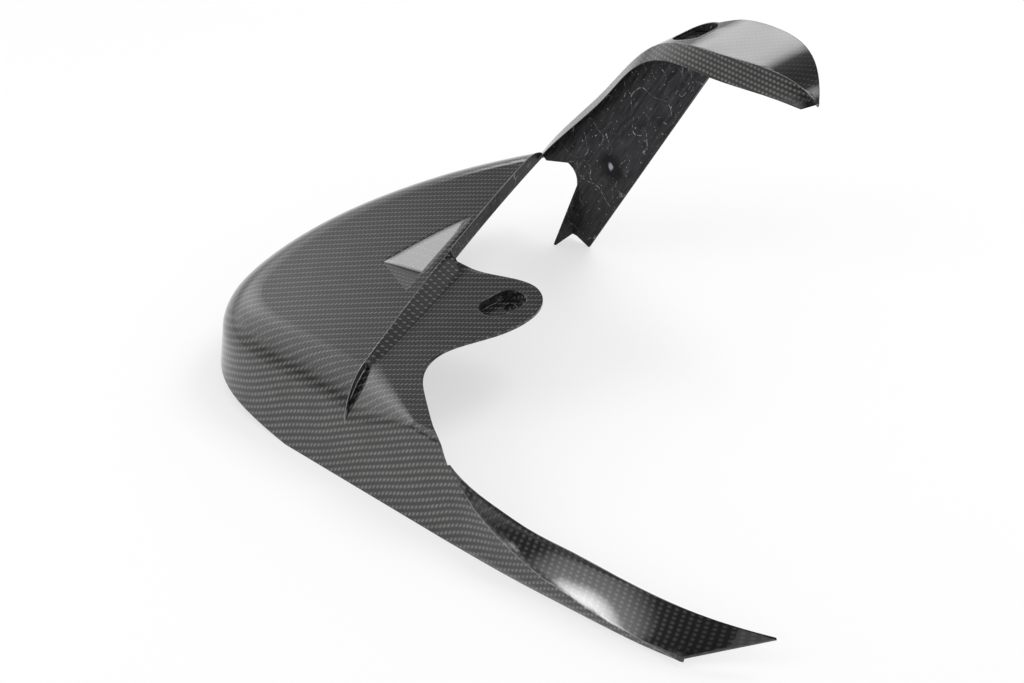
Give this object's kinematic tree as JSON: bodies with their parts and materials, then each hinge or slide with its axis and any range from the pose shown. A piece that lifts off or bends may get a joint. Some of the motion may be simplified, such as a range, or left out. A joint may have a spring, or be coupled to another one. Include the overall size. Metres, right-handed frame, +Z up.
{
  "type": "motorcycle rear fender",
  "caption": "One-piece carbon laminate rear fender for a motorcycle swing arm: crowned front shield, long side arm, raised far side and recessed bolt tabs.",
  "frame": {"origin": "centre of the outer box at its base, with the fender standing on the floor on its near flank's lower edge and its far leg", "axes": "+X forward to the nose, +Y to the left side with the long arm, +Z up"},
  "size_m": [0.3836, 0.291, 0.1625],
  "materials": {
    "carbon_laminate": "clear-coated woven carbon laminate, gloss outside and raw inside"
  },
  "bodies": {
    "root": {"rear_fender": "carbon_laminate"}
  },
  "joints": []
}
